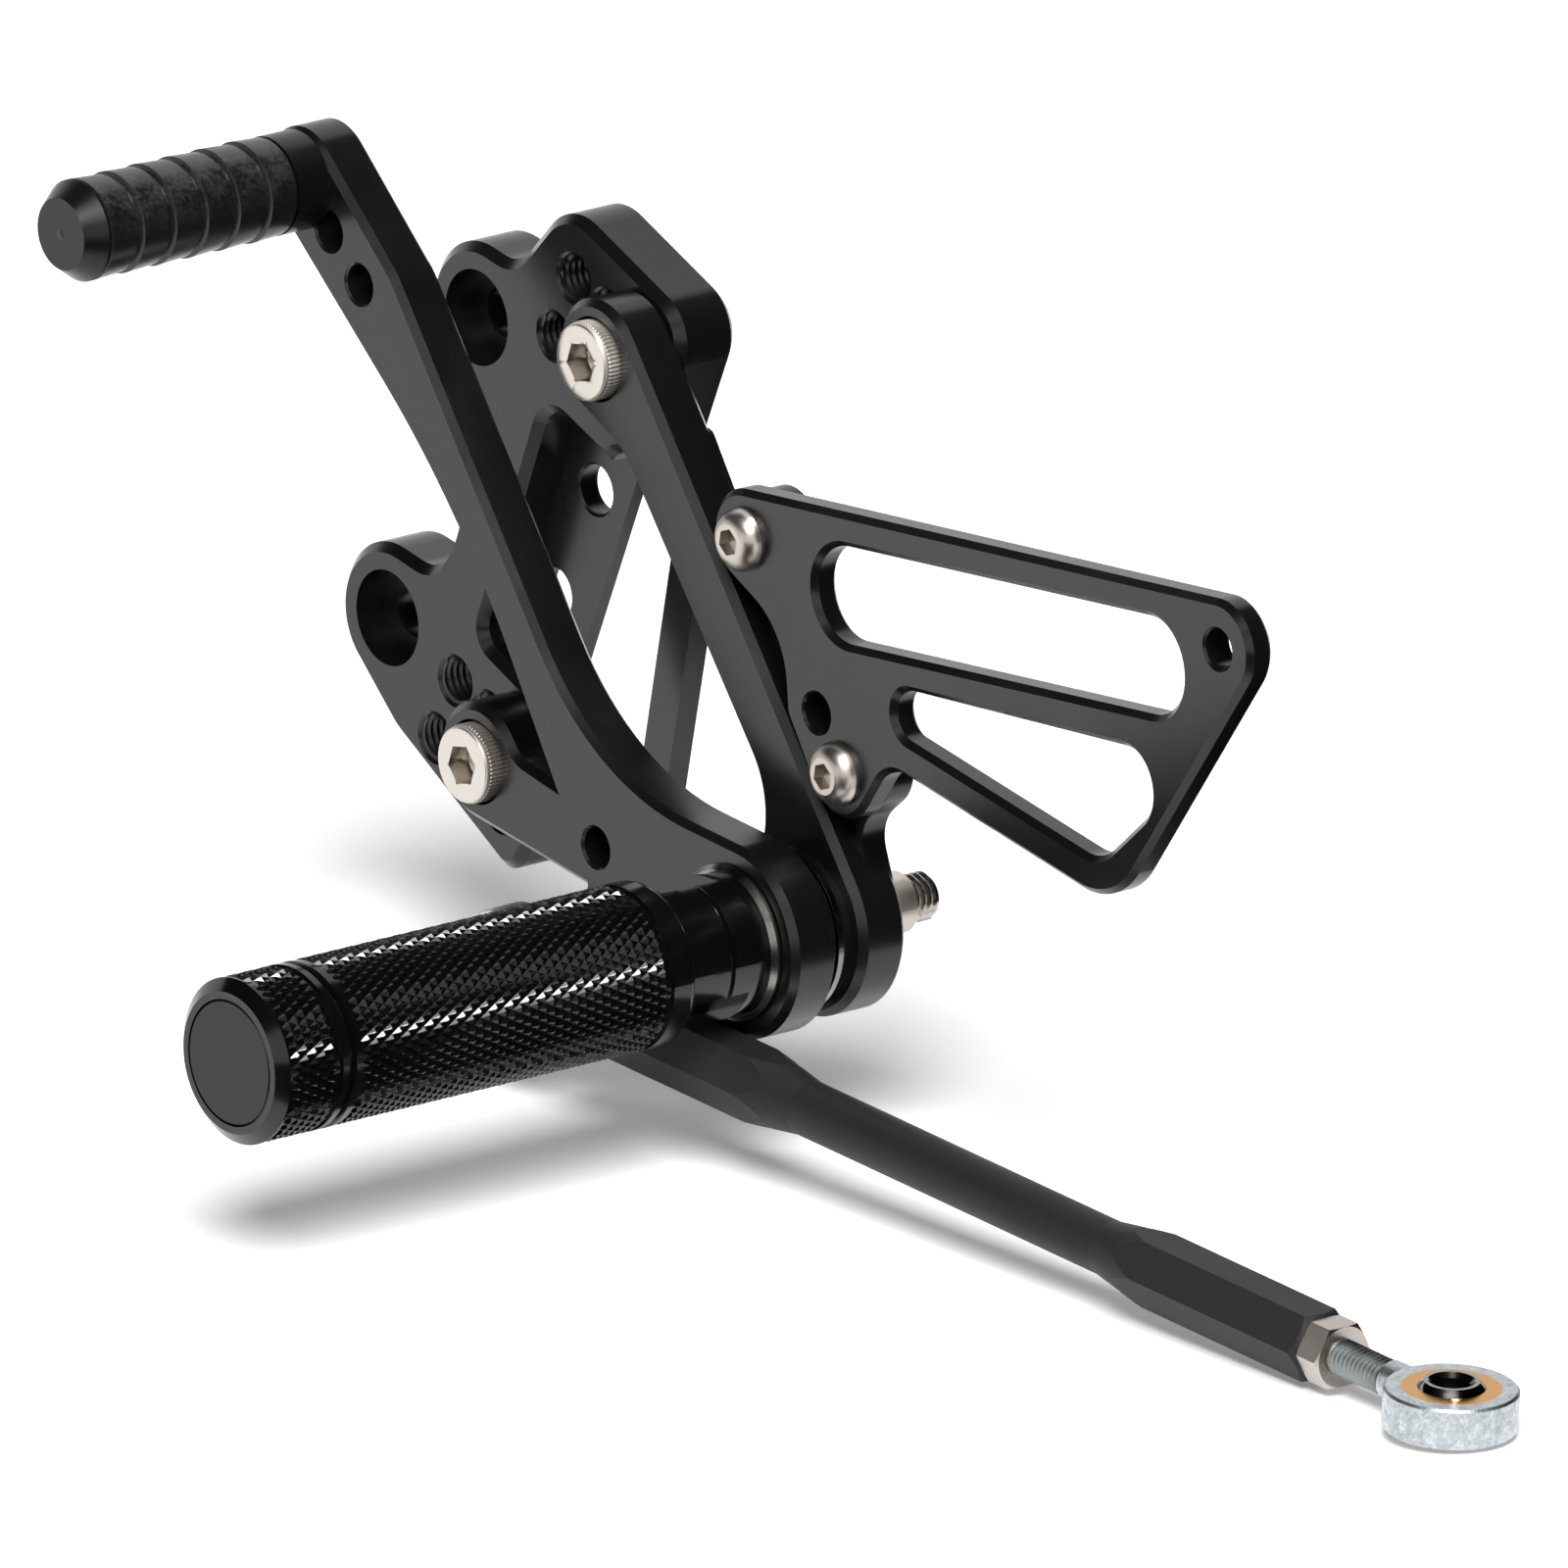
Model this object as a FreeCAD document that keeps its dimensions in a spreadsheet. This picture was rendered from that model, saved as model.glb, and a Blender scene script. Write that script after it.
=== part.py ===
import FreeCAD, Part
import math
import os

import Sketcher

# Left-hand rear set for a motorcycle: mounting plate, V-shaped peg bracket, foot peg,
# gear lever with toe peg, heel guard and the gear link rod. Millimetres.
# +X is the rear of the bike, +Y points inboard and +Z is up. The origin lies on the back
# of the mounting plate, midway between the two frame bolts.
# Every piece is drawn around the lever pivot, with depths counted from the pivot's own zero.

V = FreeCAD.Vector
X_AXIS = V(1, 0, 0)
Y_AXIS = V(0, 1, 0)
Z_AXIS = V(0, 0, 1)

doc = FreeCAD.newDocument("RearSet")
sheet = doc.addObject("Spreadsheet::Sheet", "Sizes")

SIZES = [
    # position of the lever pivot in the part's own frame
    ("pivot_x", 104.55), ("pivot_z", -49.45),
    # thickness of each flat part, front to back
    ("plate_thick", 12.0), ("bracket_thick", 9.3), ("lever_thick", 9.0), ("guard_thick", 5.1),
    ("web_thick", 3.8), ("ear_thick", 4.6), ("strut_thick", 4.2),
    # edge breaks
    ("plate_chamfer", 1.5), ("recess_chamfer", 1.5), ("bracket_chamfer", 1.2), ("lever_chamfer", 1.1),
    ("guard_chamfer", 1.0), ("hole_chamfer", 0.4),
    # frame bolts and adjustment grid in the mounting plate
    ("frame_lug", 12.2), ("frame_cbore", 7.9), ("frame_cbore_deep", 5.6), ("frame_hole", 4.25),
    ("grid_column", 9.15), ("grid_row", 11.8), ("tap_major", 4.0), ("tap_chamfer", 0.45),
    ("web_hole", 4.1),
    # peg bracket
    ("boss", 9.7), ("boss_cbore", 7.0), ("boss_cbore_deep", 5.05), ("screw_clear", 4.2),
    ("hub", 15.1), ("ear", 7.0), ("ear_hole", 3.05),
    # pivot stack
    ("sleeve_outer", 5.0), ("sleeve_bore", 4.15), ("sleeve_end", 29.4), ("bush_outer", 7.0),
    ("bush_bore", 5.05), ("lever_hub", 16.0), ("lever_boss", 13.0), ("lever_boss_high", 1.7),
    ("seal_washer", 12.7), ("seal_washer_thick", 1.3), ("thrust_washer", 13.5),
    ("thrust_washer_thick", 1.0), ("spacer", 12.0), ("side_play", 0.3), ("bolt_end", 35.2),
    # foot peg
    ("peg", 13.5), ("peg_end", 107.0), ("peg_rim", 3.2), ("peg_cap_thick", 2.8),
    ("peg_bevel", 1.6), ("peg_bore", 7.25), ("peg_seat", 30.0), ("peg_shoulder", 22.4),
    ("peg_neck", 11.8), ("peg_flats", 18.5), ("peg_flats_at", 21.0), ("peg_flats_long", 11.2),
    ("knurl_deep", 0.5), ("knurl_start", 27.4), ("knurl_end", 105.0), ("groove_at", 92.7),
    ("groove_half", 0.75), ("groove_deep", 1.0), ("groove_land", 2.0),
    # toe peg
    ("toe_collar", 8.1), ("toe_collar_long", 6.2), ("toe_rubber", 8.3), ("toe_rib", 6.5),
    ("toe_stem", 5.2), ("toe_nose_long", 3.3), ("toe_tip", 5.9), ("toe_hole", 3.3),
    # metric fasteners
    ("cap_head", 6.5), ("cap_head_high", 8.0), ("cap_hex", 6.0), ("cap_shank", 4.0),
    ("cap_length", 16.0), ("button_head", 5.25), ("button_head_high", 3.3), ("button_hex", 4.0),
    ("button_shank", 3.0), ("guard_screw_length", 10.0), ("toe_screw_length", 24.0),
    # link rod and its rod ends
    ("link_seat", 8.0), ("link_seat_high", 1.0), ("link_hex", 11.0), ("link_round", 4.55),
    ("link_start", 21.0), ("link_hex_long", 40.5), ("link_taper", 12.0), ("link_far_gap", 31.3),
    ("eye", 10.8), ("eye_thick", 6.75), ("race", 8.0), ("ball", 6.35), ("ball_fit", 0.05),
    ("ball_width", 9.0), ("ball_bore", 3.0), ("ball_chamfer", 0.8), ("rod_thread", 3.0), ("rod_root", 2.45),
    ("thread_reach", 12.0), ("bolt_root", 3.4), ("bolt_bare", 5.6),
    ("jam_hex", 10.0), ("jam_thick", 5.0), ("link_nut_thick", 4.0),
]
for row, (alias, value) in enumerate(SIZES, start=1):
    sheet.set("A%d" % row, alias)
    sheet.set("B%d" % row, repr(value))
    sheet.setAlias("B%d" % row, alias)
doc.recompute()


def size(alias):
    return float(sheet.get(alias))


# front faces, counted towards the bike from the pivot's zero
PLATE_Y = 19.1
BRACKET_Y = PLATE_Y - size("bracket_thick")
EAR_Y = PLATE_Y - size("ear_thick")
GUARD_Y = EAR_Y - size("guard_thick")
SPACER_Y = BRACKET_Y - 2.6
THRUST_Y = SPACER_Y - size("thrust_washer_thick")
LEVER_Y = THRUST_Y - size("side_play") - size("lever_boss_high") - size("lever_thick")
SEAL_Y = LEVER_Y - size("side_play") - size("seal_washer_thick")
PIVOT = V(size("pivot_x"), -PLATE_Y - size("plate_thick"), size("pivot_z"))

# holes shared by more than one piece, as (x, z) from the pivot
FRAME_BOLTS = [(-93.2, 77.1), (-115.9, 21.8)]
BRACKET_SCREWS = [(-52.2, 81.4), (-82.2, 7.5)]
GUARD_SCREWS = [(-14.2, 60.6), (9.4, 27.4)]
GUARD_SPARES = [(3.9, 36.0), (103.2, 69.9)]
TOE_PEG = (-108.7, 101.0)
LINK_NEAR = (-47.3, -15.2)
LINK_FAR = (184.4, -31.1)
LINK_Y = LEVER_Y - size("link_seat_high") - size("ball_width") / 2
LINK_RUN = math.hypot(LINK_FAR[0] - LINK_NEAR[0], LINK_FAR[1] - LINK_NEAR[1])
LINK_DROP = math.degrees(math.atan2(LINK_NEAR[1] - LINK_FAR[1], LINK_FAR[0] - LINK_NEAR[0]))


def outline(lobes):
    """Closed outline of lines and arcs: circles (x, z, r) joined by common tangents, taken
    anticlockwise, with r below zero for a hollow corner."""
    ends = []
    for i in range(len(lobes)):
        x1, z1, r1 = lobes[i]
        x2, z2, r2 = lobes[(i + 1) % len(lobes)]
        span = math.hypot(x2 - x1, z2 - z1)
        turn = math.atan2(z2 - z1, x2 - x1) + math.acos((r2 - r1) / span)
        nx = math.cos(turn)
        nz = math.sin(turn)
        ends.append((V(x1 - nx * r1, z1 - nz * r1, 0), V(x2 - nx * r2, z2 - nz * r2, 0)))
    pieces = []
    for i in range(len(lobes)):
        x, z, r = lobes[i]
        start = ends[i - 1][1]
        finish = ends[i][0]
        if (finish - start).Length > 1e-3:
            a1 = math.atan2(start.y - z, start.x - x)
            a2 = math.atan2(finish.y - z, finish.x - x)
            if r < 0:
                a1, a2 = a2, a1
            pieces.append(Part.ArcOfCircle(Part.Circle(V(x, z, 0), Z_AXIS, abs(r)), a1, a2))
        if (ends[i][1] - ends[i][0]).Length > 1e-3:
            pieces.append(Part.LineSegment(ends[i][0], ends[i][1]))
    return pieces


def polygon(points):
    corners = [V(p[0], p[1], 0) for p in points]
    sides = [(corners[i - 1], corners[i]) for i in range(len(corners))]
    return [Part.LineSegment(a, b) for a, b in sides if (b - a).Length > 1e-6]


def hexagon(across_flats, turn=0.0):
    corner = across_flats / math.sqrt(3)
    angles = [math.radians(60 * k + turn) for k in range(6)]
    return polygon([(corner * math.cos(a), corner * math.sin(a)) for a in angles])


def new_body(label, depth=0.0, at=(0.0, 0.0), rotation=FreeCAD.Rotation()):
    """A body whose own zero lies at a depth and an (x, z) from the pivot."""
    body = doc.addObject("PartDesign::Body", label)
    body.Label = label
    body.Placement = FreeCAD.Placement(PIVOT + V(at[0], depth, at[1]), rotation)
    return body


def origin_part(body, role):
    return [f for f in body.Origin.OriginFeatures if f.Role == role][0]


def sketch_on(body, plane, name, geometry, offset=0.0):
    """Sketch on one of the body's own planes, shifted by an offset along its normal."""
    sketch = body.newObject("Sketcher::SketchObject", name)
    sketch.AttachmentSupport = [(origin_part(body, plane), "")]
    sketch.MapMode = "FlatFace"
    sketch.AttachmentOffset = FreeCAD.Placement(V(0, 0, offset), FreeCAD.Rotation())
    for piece in geometry:
        sketch.addGeometry(piece, False)
    return sketch


def front(body, name, geometry, depth=0.0):
    """Sketch seen from the front, at a depth below the body's zero."""
    return sketch_on(body, "XZ_Plane", name, geometry, -depth)


def rings(body, name, centres, alias, depth=0.0):
    """Equal circles seen from the front, whose radius follows one cell of the sheet."""
    circles = [Part.Circle(V(x, z, 0), Z_AXIS, size(alias)) for x, z in centres]
    sketch = front(body, name, circles, depth)
    for i, (x, z) in enumerate(centres):
        sketch.addConstraint(Sketcher.Constraint("DistanceX", -1, 1, i, 3, x))
        sketch.addConstraint(Sketcher.Constraint("DistanceY", -1, 1, i, 3, z))
        index = sketch.addConstraint(Sketcher.Constraint("Radius", i, size(alias)))
        sketch.setExpression("Constraints[%d]" % index, "Sizes." + alias)
    return sketch


def pad(body, sketch, name, length, inward=True):
    """Raise a sketch; the length is an expression over the sheet."""
    feature = body.newObject("PartDesign::Pad", name)
    feature.Profile = sketch
    feature.Reversed = inward
    feature.setExpression("Length", length)
    doc.recompute()
    return feature


def pocket(body, sketch, name, length=None, inward=True):
    """Sink a sketch by an expression over the sheet, or right through without one."""
    before = body.Shape.Volume
    feature = body.newObject("PartDesign::Pocket", name)
    feature.Profile = sketch
    feature.Reversed = not inward
    if length is None:
        feature.Type = "ThroughAll"
    else:
        feature.setExpression("Length", length)
    doc.recompute()
    if body.Shape.Volume > before - 1e-3:
        raise RuntimeError(name + " removes nothing")
    return feature


def turned(body, name, profile, axis="Y_Axis", cut=False):
    """Turn a closed profile in the XY plane around an axis of the body."""
    before = body.Shape.Volume if cut else 0
    sketch = sketch_on(body, "XY_Plane", name + "_profile", profile)
    feature = body.newObject("PartDesign::Groove" if cut else "PartDesign::Revolution", name)
    feature.Profile = sketch
    feature.ReferenceAxis = (origin_part(body, axis), [""])
    feature.Angle = 360
    doc.recompute()
    if cut and body.Shape.Volume > before - 1e-3:
        raise RuntimeError(name + " removes nothing")
    return feature


def edges_at(feature, depth, wanted=None):
    """Names of the edges that lie flat at one depth and pass the test."""
    names = []
    for i, edge in enumerate(feature.Shape.Edges, start=1):
        box = edge.BoundBox
        flat = abs(box.YMin - depth) < 1e-4 and abs(box.YMax - depth) < 1e-4
        if flat and (wanted is None or wanted(box)):
            names.append("Edge%d" % i)
    return names


def edges_along(feature, depth, pieces):
    """Names of the edges at one depth that follow the given lines and arcs."""
    names = []
    for name in edges_at(feature, depth):
        edge = feature.Shape.getElement(name)
        middle = edge.valueAt((edge.FirstParameter + edge.LastParameter) / 2)
        point = Part.Vertex(middle.x, middle.z, 0)
        if min(piece.toShape().distToShape(point)[0] for piece in pieces) < 1e-3:
            names.append(name)
    return names


def round_edge(radius):
    return lambda box: abs(box.XLength - 2 * radius) < 1e-3


def chamfer(body, feature, name, alias, names):
    cut = body.newObject("PartDesign::Chamfer", name)
    cut.Base = (feature, names)
    cut.setExpression("Size", "Sizes." + alias)
    doc.recompute()
    return cut


def group(label, members):
    """Equal loose pieces in one node."""
    together = doc.addObject("Part::Compound", label)
    together.Label = label
    together.Links = members
    doc.recompute()
    return together


def tube(label, depth, length, outer, inner, bevel=0.0):
    """Plain turned ring or sleeve around the pivot; the bevel is on its front edge."""
    body = new_body(label, depth)
    turned(body, label + "_turning", polygon([
        (inner, 0), (outer - bevel, 0), (outer, bevel), (outer, length), (inner, length)]))
    return body


def cap_screw(label, depth, at, length, bare=0.0):
    """Socket head screw M8, driven towards the bike; the body's zero is the head's face. The
    bare length at the tip is turned to the root of the thread."""
    body = new_body(label, depth, at)
    head = size("cap_head")
    high = size("cap_head_high")
    shank = size("cap_shank")
    root = size("bolt_root")
    tip = high + length
    if bare > 0:
        end = [(shank, tip - bare), (root, tip - bare), (root, tip - 0.3), (root - 0.3, tip)]
    else:
        end = [(shank, tip - 0.8), (shank - 0.8, tip)]
    turned(body, label + "_turning", polygon(
        [(0, 0), (head - 0.6, 0), (head, 0.6), (head, high), (shank, high)] + end + [(0, tip)]))
    pocket(body, front(body, label + "_hexagon", hexagon(size("cap_hex"), 11)), label + "_socket",
           "Sizes.cap_head_high / 2")
    return body


def button_screw(label, depth, at, length, inward=True):
    """Button head screw M6; the body's zero is the crown of the head."""
    way = FreeCAD.Rotation() if inward else FreeCAD.Rotation(X_AXIS, 180)
    body = new_body(label, depth, at, way)
    head = size("button_head")
    high = size("button_head_high")
    shank = size("button_shank")
    tip = high + length
    crown = [V(0, 0, 0), V(3.0, 0, 0), V(4.5, 1.05, 0), V(head, 2.7, 0)]
    lower = [V(head, high, 0), V(shank, high, 0), V(shank, tip - 0.6, 0), V(shank - 0.6, tip, 0),
             V(0, tip, 0)]
    profile = [Part.LineSegment(crown[0], crown[1]), Part.Arc(crown[1], crown[2], crown[3])]
    ring = [crown[3]] + lower + [crown[0]]
    for i in range(len(ring) - 1):
        profile.append(Part.LineSegment(ring[i], ring[i + 1]))
    turned(body, label + "_turning", profile)
    pocket(body, front(body, label + "_hexagon", hexagon(size("button_hex"), 20)),
           label + "_socket", "Sizes.button_head_high * 0.6")
    return body


def hex_nut(label, across, thick, bore, depth, at, rotation, turn=0.0):
    """Hexagon nut whose axis is the body's X, with both faces bevelled on a cone."""
    body = new_body(label, depth, at, rotation)
    sketch = sketch_on(body, "YZ_Plane", label + "_hexagon", hexagon(size(across), turn))
    length = "Sizes." + thick
    pad(body, sketch, label + "_blank", length, inward=False)
    corner = size(across) / math.sqrt(3)
    flat = size(across) / 2
    far = size(thick)
    turned(body, label + "_bevels", polygon([
        (-1, flat), (0, flat), (0.45, corner + 0.2), (far - 0.45, corner + 0.2), (far, flat),
        (far + 1, flat), (far + 1, corner + 2), (-1, corner + 2)]), "X_Axis", cut=True)
    turned(body, label + "_bore", polygon([(-1, 0), (-1, bore), (far + 1, bore), (far + 1, 0)]),
           "X_Axis", cut=True)
    return body


# Mounting plate, milled from 12 mm plate. Two lugs take the frame bolts in counterbores, two
# pads carry grids of tapped holes that set the peg height, and a triangular recess leaves a
# thin web with two lightening holes.
plate = new_body("mounting_plate", PLATE_Y)
plate_lobes = [
    (-115.9, 21.8, size("frame_lug")), (-107.1, 13.0, 12.0), (-86.3, -9.2, 4.0),
    (-82.2, 7.5, 10.0), (-72.8, 19.6, -5.0), (-56.3, 58.0, -5.0), (-54.2, 69.0, 6.0),
    (-50.0, 83.6, 8.0), (-68.6, 89.4, 10.1), (-86.4, 95.0, -6.7),
    (-93.2, 77.1, size("frame_lug")), (-105.3, 47.7, -8.0), (-107.2, 39.4, -6.8),
]
slab = pad(plate, front(plate, "plate_outline", outline(plate_lobes)), "plate_blank",
           "Sizes.plate_thick")
chamfer(plate, slab, "plate_bevel", "plate_chamfer",
        edges_at(slab, 0) + edges_at(slab, size("plate_thick")))
recess_lobes = [(-88.4, 25.7, 3.6), (-53.4, 7.1, 1.0), (-50.9, 55.4, 1.0), (-73.3, 61.0, 4.6)]
recess_sides = outline(recess_lobes)
recess = pocket(plate, front(plate, "recess_outline", recess_sides), "plate_recess",
                "Sizes.plate_thick - Sizes.web_thick")
chamfer(plate, recess, "recess_bevel", "recess_chamfer", edges_along(recess, 0, recess_sides))
pocket(plate, rings(plate, "frame_cbore_rings", FRAME_BOLTS, "frame_cbore"), "frame_counterbores",
       "Sizes.frame_cbore_deep")
pocket(plate, rings(plate, "frame_hole_rings", FRAME_BOLTS, "frame_hole"), "frame_bolt_holes")
column_step = V(0.905, -0.425, 0) * size("grid_column")
row_step = V(-0.425, -0.905, 0) * size("grid_row")
spare_taps = []
for x, z in BRACKET_SCREWS:
    for column, row in [(-2, 0), (-1, 0), (-2, 1), (-1, 1), (0, 1)]:
        hole = V(x, z, 0) + column_step * column + row_step * row
        spare_taps.append((hole.x, hole.y))
taps = pocket(plate, rings(plate, "spare_tap_rings", spare_taps, "tap_major"), "spare_taps")
chamfer(plate, taps, "spare_tap_mouths", "tap_chamfer",
        edges_at(taps, 0, round_edge(size("tap_major"))))
pocket(plate, rings(plate, "used_tap_rings", BRACKET_SCREWS, "cap_shank"), "used_taps")
web = pocket(plate, rings(plate, "web_hole_rings", [(-73.4, 51.5), (-83.8, 31.9)], "web_hole"),
             "web_holes")
web_front = size("plate_thick") - size("web_thick")
chamfer(plate, web, "web_hole_mouths", "hole_chamfer",
        edges_at(web, web_front, round_edge(size("web_hole"))))

# Peg bracket, milled from 9.3 mm plate: a V of two arms from the screw bosses to the peg hub,
# with a thin strut between the arms and thin ears that carry the heel guard.
bracket = new_body("peg_bracket", BRACKET_Y)
v_lobes = [
    (-52.2, 81.4, size("boss")), (-55.4, 55.5, -15.0), (-25.5, 15.9, -15.0),
    (-68.6, 16.2, -6.3), (-82.2, 7.5, size("boss")), (0.0, 0.0, size("hub")),
]
arms = pad(bracket, front(bracket, "arms_outline", outline(v_lobes)), "arms",
           "Sizes.bracket_thick")
chamfer(bracket, arms, "arms_bevel", "bracket_chamfer",
        edges_at(arms, 0) + edges_at(arms, size("bracket_thick")))
ear_lobes = [
    (0.0, 0.0, size("hub") - 1.7), (15.5, 15.2, -6.3), (9.4, 27.4, size("ear")),
    (8.0, 48.5, -11.0), (-14.2, 60.6, size("ear")), (-24.6, 65.3, -4.0), (-35.0, 70.3, 2.0),
    (-1.9, 12.1, 2.0),
]
ear_front = size("bracket_thick") - size("ear_thick")
pad(bracket, front(bracket, "ears_outline", outline(ear_lobes), ear_front), "ears",
    "Sizes.ear_thick")
strut_points = [(-50.1, -2.0), (-43.5, -2.0), (-31.7, 52.2), (-37.2, 60.3)]
strut_front = size("bracket_thick") - size("strut_thick")
pad(bracket, front(bracket, "strut_outline", polygon(strut_points), strut_front), "strut",
    "Sizes.strut_thick")
pocket(bracket, rings(bracket, "boss_cbore_rings", BRACKET_SCREWS, "boss_cbore"),
       "boss_counterbores", "Sizes.boss_cbore_deep")
pocket(bracket, rings(bracket, "boss_hole_rings", BRACKET_SCREWS, "screw_clear"), "boss_holes")
pocket(bracket, rings(bracket, "hub_ring", [(0.0, 0.0)], "sleeve_outer"), "hub_bore")
pocket(bracket, rings(bracket, "ear_hole_rings", GUARD_SCREWS, "ear_hole"), "ear_holes")

# Socket head screws that fix the bracket to the plate.
screw_front = BRACKET_Y + size("boss_cbore_deep") - size("cap_head_high")
bracket_screws = group("bracket_screws", [
    cap_screw("bracket_screw_upper", screw_front, BRACKET_SCREWS[0], size("cap_length")),
    cap_screw("bracket_screw_lower", screw_front, BRACKET_SCREWS[1], size("cap_length"))])

# Heel guard, cut from 5 mm plate, with a long slot and a window to save weight.
guard = new_body("heel_guard", GUARD_Y)
guard_lobes = [
    (-14.2, 60.6, 8.0), (-18.4, 38.1, -14.0), (-0.1, 35.6, 4.0), (9.4, 27.4, 7.6),
    (24.3, 24.3, -6.4), (71.5, 36.3, 14.0), (103.2, 70.0, 8.0),
]
slot_lobes = [(11.3, 57.0, 8.0), (86.2, 63.2, 8.0)]
window_lobes = [(27.2, 40.7, 4.2), (71.5, 36.4, 7.9), (80.1, 42.0, 6.4)]
pad(guard, front(guard, "guard_outline", outline(guard_lobes)), "guard_blank",
    "Sizes.guard_thick")
pocket(guard, front(guard, "slot_outline", outline(slot_lobes)), "guard_slot")
window = pocket(guard, front(guard, "window_outline", outline(window_lobes)), "guard_window")
chamfer(guard, window, "guard_bevel", "guard_chamfer",
        edges_at(window, 0) + edges_at(window, size("guard_thick")))
spare = pocket(guard, rings(guard, "guard_hole_rings", GUARD_SCREWS + GUARD_SPARES, "toe_hole"),
               "guard_holes")
chamfer(guard, spare, "guard_hole_mouths", "hole_chamfer",
        edges_at(spare, 0, round_edge(size("toe_hole"))))

# Button head screws that hold the guard on the bracket's ears.
guard_screw_front = GUARD_Y - size("button_head_high")
heel_guard_screws = group("heel_guard_screws", [
    button_screw("guard_screw_upper", guard_screw_front, GUARD_SCREWS[0],
                 size("guard_screw_length")),
    button_screw("guard_screw_lower", guard_screw_front, GUARD_SCREWS[1],
                 size("guard_screw_length"))])

# Gear lever, milled from 9 mm plate: hub on the pivot, curved arm with three holes for the
# toe peg, an unused linkage hole and a short tail for the link rod behind the foot peg.
lever = new_body("shift_lever", LEVER_Y)
lever_lobes = [
    (TOE_PEG[0], TOE_PEG[1], 8.5), (-193.0, -48.2, -159.3), (-41.1, 0.8, -4.0),
    (LINK_NEAR[0], LINK_NEAR[1], 8.5), (-22.8, -28.0, -14.0), (0.0, 0.0, size("lever_hub")),
    (-7.3, 66.1, -49.2), (-96.2, 80.4, 15.0),
]
blank = pad(lever, front(lever, "lever_outline", outline(lever_lobes)), "lever_blank",
            "Sizes.lever_thick")
chamfer(lever, blank, "lever_bevel", "lever_chamfer",
        edges_at(blank, 0) + edges_at(blank, size("lever_thick")))
pad(lever, rings(lever, "hub_boss_ring", [(0.0, 0.0)], "lever_boss", size("lever_thick")),
    "hub_boss", "Sizes.lever_boss_high")
pad(lever, rings(lever, "link_seat_ring", [LINK_NEAR], "link_seat"), "link_seat",
    "Sizes.link_seat_high", inward=False)
pocket(lever, rings(lever, "bush_ring", [(0.0, 0.0)], "bush_outer"), "bush_bore")
pocket(lever, rings(lever, "link_hole_ring", [LINK_NEAR], "ball_bore", -size("link_seat_high")),
       "link_hole")
lever_holes = [TOE_PEG, (-101.1, 94.1), (-93.5, 87.0), (-34.0, 7.5)]
holes = pocket(lever, rings(lever, "lever_hole_rings", lever_holes, "toe_hole"), "lever_holes")
chamfer(lever, holes, "lever_hole_mouths", "hole_chamfer",
        edges_at(holes, 0, round_edge(size("toe_hole"))))

# Pivot stack: bronze bush in the lever, steel sleeve through bracket and lever, washers and
# spacer that leave the lever a little side play.
play = size("side_play")
bush_front = LEVER_Y - play / 2
bush_long = size("lever_thick") + size("lever_boss_high") + play
lever_bush = tube("lever_bush", bush_front, bush_long, size("bush_outer"), size("bush_bore"))
outer_washer = tube("outer_washer", SEAL_Y, size("seal_washer_thick"), size("seal_washer"),
                    size("sleeve_outer"), 0.8)
inner_washer = tube("inner_washer", THRUST_Y, size("thrust_washer_thick"), size("thrust_washer"),
                    size("sleeve_outer"))
pivot_spacer = tube("pivot_spacer", SPACER_Y, BRACKET_Y - SPACER_Y, size("spacer"),
                    size("sleeve_outer"))
pivot_sleeve = tube("pivot_sleeve", SEAL_Y, size("sleeve_end") - SEAL_Y, size("sleeve_outer"),
                    size("sleeve_bore"))

# Foot peg, turned from bar and knurled: two knurled lengths with a groove between them, a
# rounded shoulder, a plain neck with two wrench flats and a deep bore for its bolt.
peg = new_body("footpeg_barrel")
rim = size("peg")
cap_radius = rim - size("peg_rim")
neck = size("peg_neck")
root = rim - size("knurl_deep")
tip_y = -size("peg_end")
cap_y = tip_y + size("peg_cap_thick")
shoulder_y = -size("peg_shoulder")
seat_y = -size("peg_seat")
groove_y = -size("groove_at")
groove_half = size("groove_half")
land = size("groove_land")
step_y = (shoulder_y + SEAL_Y) / 2
barrel = turned(peg, "barrel_turning", polygon([
    (cap_radius, tip_y), (rim - size("peg_bevel") - 0.4, tip_y), (rim, tip_y + size("peg_bevel")),
    (rim, -size("knurl_end")), (root, -size("knurl_end")), (root, groove_y - land), (rim, groove_y - land),
    (rim, groove_y - groove_half), (rim - size("groove_deep"), groove_y - groove_half + 0.3),
    (rim - size("groove_deep"), groove_y + groove_half - 0.3), (rim, groove_y + groove_half),
    (rim, groove_y + land), (root, groove_y + land), (root, -size("knurl_start")),
    (rim, -size("knurl_start")), (rim, shoulder_y), (neck, shoulder_y),
    (neck, step_y - 3.3), (neck - 0.3, step_y - 3.1), (neck - 0.3, step_y + 0.2),
    (neck - 0.7, step_y + 0.3), (neck - 0.7, step_y + 0.8), (neck - 0.15, step_y + 1.0),
    (neck - 0.15, SEAL_Y - 2.1), (neck - 0.6, SEAL_Y - 2.1), (neck - 0.6, SEAL_Y),
    (size("screw_clear"), SEAL_Y), (size("screw_clear"), seat_y), (size("peg_bore"), seat_y),
    (size("peg_bore"), cap_y), (cap_radius, cap_y)]))
rounding = peg.newObject("PartDesign::Fillet", "barrel_shoulder")
rounding.Base = (barrel, edges_at(barrel, shoulder_y, round_edge(rim)))
rounding.setExpression("Radius", "Sizes.peg - Sizes.peg_neck - 0.1")
doc.recompute()
flat = size("peg_flats") / 2
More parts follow.
